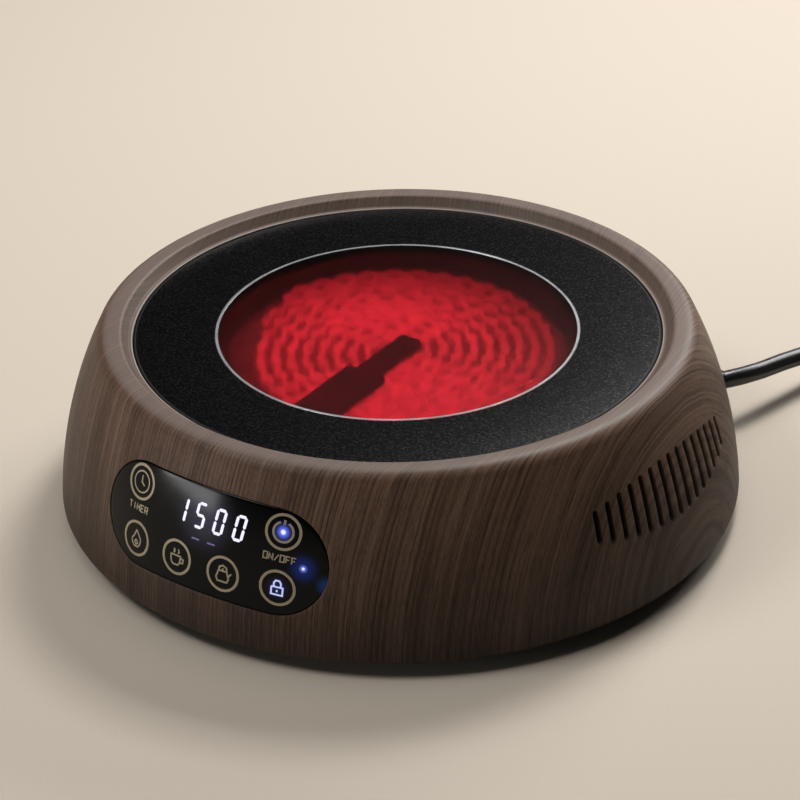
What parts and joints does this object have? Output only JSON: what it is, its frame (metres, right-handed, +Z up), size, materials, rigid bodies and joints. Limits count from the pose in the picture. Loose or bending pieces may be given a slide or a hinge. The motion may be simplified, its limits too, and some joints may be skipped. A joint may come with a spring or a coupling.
{
  "type": "infrared hot plate",
  "caption": "Round tabletop infrared hot plate: recessed glass-ceramic disc over a ribbon heater, sloping touch panel with digits, side vents, cooling fan and a coiled mains cord.",
  "frame": {"origin": "on the table under the middle of the round body", "axes": "+Z up, control panel towards -Y, +X to the right of someone facing the panel"},
  "size_m": [0.3098, 0.343, 0.067],
  "materials": {
    "wood_grain_shell": "satin wood-grain transfer print on moulded plastic",
    "glass_ceramic": "polished black glass-ceramic",
    "silicone": "matte",
    "gloss_black": "high gloss",
    "circuit_board": "solder mask",
    "display_white": "moulded epoxy",
    "black_plastic": "fine texture",
    "steel": "plain",
    "heating_alloy": "oxidised ribbon",
    "insulation": "pressed mineral fibre",
    "ceramic": "fired",
    "aluminium": "extruded",
    "brass": "tinned",
    "film_yellow": "moulded box",
    "sleeve_blue": "shrink sleeve",
    "rubber": "matte",
    "cord_jacket": "satin",
    "lead_jacket": "silicone sleeve"
  },
  "bodies": {
    "stove": {"housing_shell": "wood_grain_shell", "glass_plate": "glass_ceramic", "glass_seal": "silicone", "panel_lens": "gloss_black", "display_board": "circuit_board", "digit_display": "display_white", "touch_columns": "silicone", "key_leds": "display_white", "display_screws": "steel", "heating_ribbon": "heating_alloy", "insulation_bed": "insulation", "insulation_ring": "insulation", "heater_pan": "steel", "heater_carrier": "steel", "carrier_screws": "steel", "temp_probe": "ceramic", "probe_shoe": "ceramic", "heater_terminals": "steel", "terminal_block": "ceramic", "thermal_cutout": "black_plastic", "fan_frame": "black_plastic", "fan_stator": "steel", "fan_screws": "steel", "power_board": "circuit_board", "board_screws": "steel", "heat_sink": "aluminium", "triac": "black_plastic", "filter_capacitor": "film_yellow", "supply_transformer": "black_plastic", "smoothing_capacitors": "sleeve_blue", "fuse": "ceramic", "spade_tabs": "brass", "buzzer": "black_plastic", "mains_leads": "lead_jacket", "heater_leads": "lead_jacket", "fan_lead": "lead_jacket", "display_cable": "lead_jacket", "base_cover": "black_plastic", "base_screws": "steel", "foot_1": "rubber", "foot_2": "rubber", "foot_3": "rubber", "foot_4": "rubber", "strain_relief": "cord_jacket", "cord_clamp": "black_plastic", "clamp_screws": "steel", "cord_lead": "cord_jacket", "cord_coil": "cord_jacket", "cord_tie": "silicone", "plug_body": "cord_jacket", "plug_pins": "brass"},
    "fan": {"fan_rotor": "black_plastic"}
  },
  "joints": [
    {"name": "fan_spin", "type": "hinge", "parent": "stove", "child": "fan", "pos_m": [0.042, 0.006, 0.018], "axis": [0, 0, 1], "continuous": true}
  ]
}
